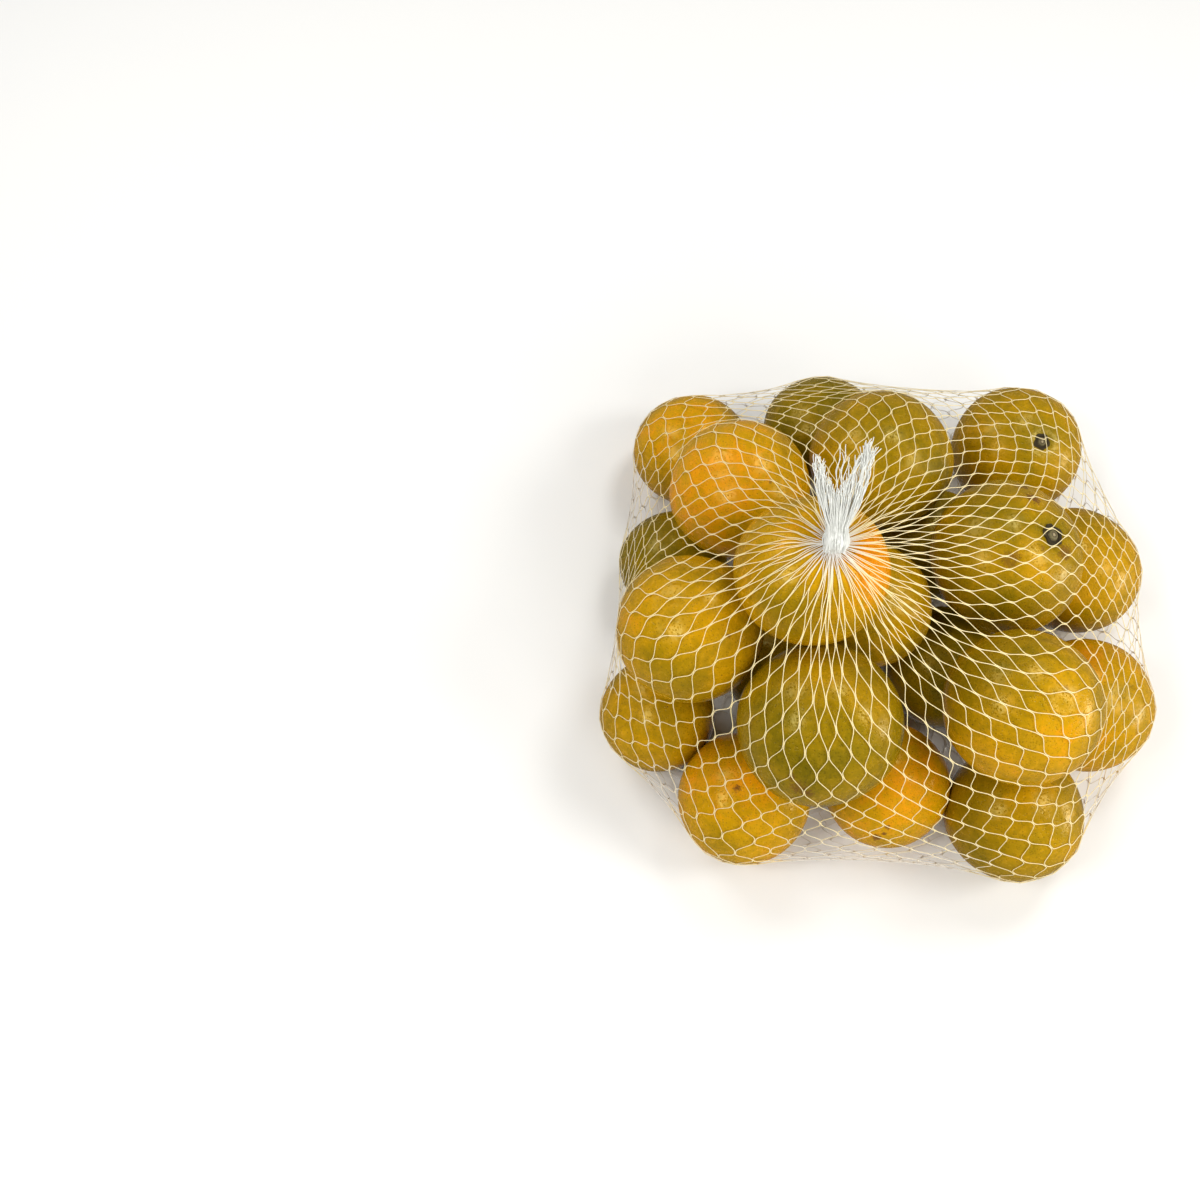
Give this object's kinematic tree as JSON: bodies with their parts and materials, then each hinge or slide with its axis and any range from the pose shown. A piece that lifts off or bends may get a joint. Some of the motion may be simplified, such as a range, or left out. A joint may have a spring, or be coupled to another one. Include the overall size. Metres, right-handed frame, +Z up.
{
  "type": "net of oranges",
  "caption": "Knotted net of oranges, standing as a loose heap of uneven round fruit with the knot and a frayed tail of net on top.",
  "frame": {"origin": "centre of the heap's footprint, on the surface it stands on", "axes": "+Z up; -Y towards the viewer's side, where the heap slopes down to its front row; +X to the viewer's right"},
  "size_m": [0.2554, 0.2522, 0.1631],
  "materials": {
    "orange_skin": "waxy citrus rind with fine pores, golden yellow turning to green and orange in patches",
    "net_plastic": "soft white knitted plastic strand, slightly translucent"
  },
  "bodies": {
    "root": {"filled_net": "orange_skin", "knot": "net_plastic", "tail": "net_plastic"}
  },
  "joints": []
}
